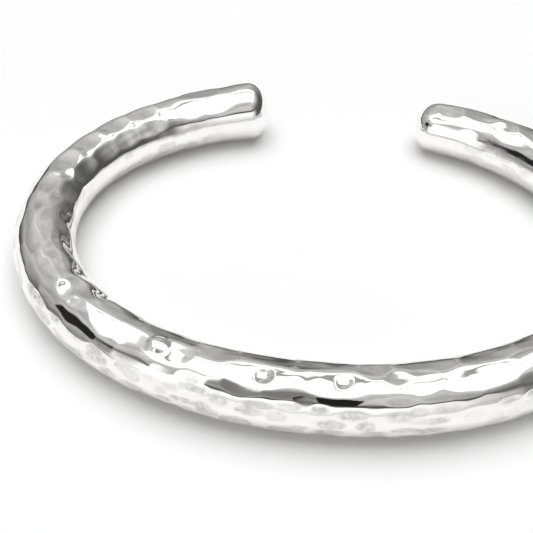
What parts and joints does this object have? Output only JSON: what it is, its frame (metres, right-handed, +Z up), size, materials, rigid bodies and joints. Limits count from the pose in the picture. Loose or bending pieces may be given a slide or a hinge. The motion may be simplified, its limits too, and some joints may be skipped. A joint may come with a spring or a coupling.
{
  "type": "cuff bracelet",
  "caption": "Open oval cuff bracelet bent from one solid round hammered silver bar, with a domed end each side of the gap, lying on its side.",
  "frame": {"origin": "middle of the cuff's footprint, on the surface that it lies on", "axes": "+X along the oval's width, +Y through the gap between the ends, +Z up out of the surface"},
  "size_m": [0.0746, 0.057, 0.0077],
  "materials": {
    "silver": "hammered and mirror polished"
  },
  "bodies": {
    "root": {"cuff": "silver"}
  },
  "joints": []
}
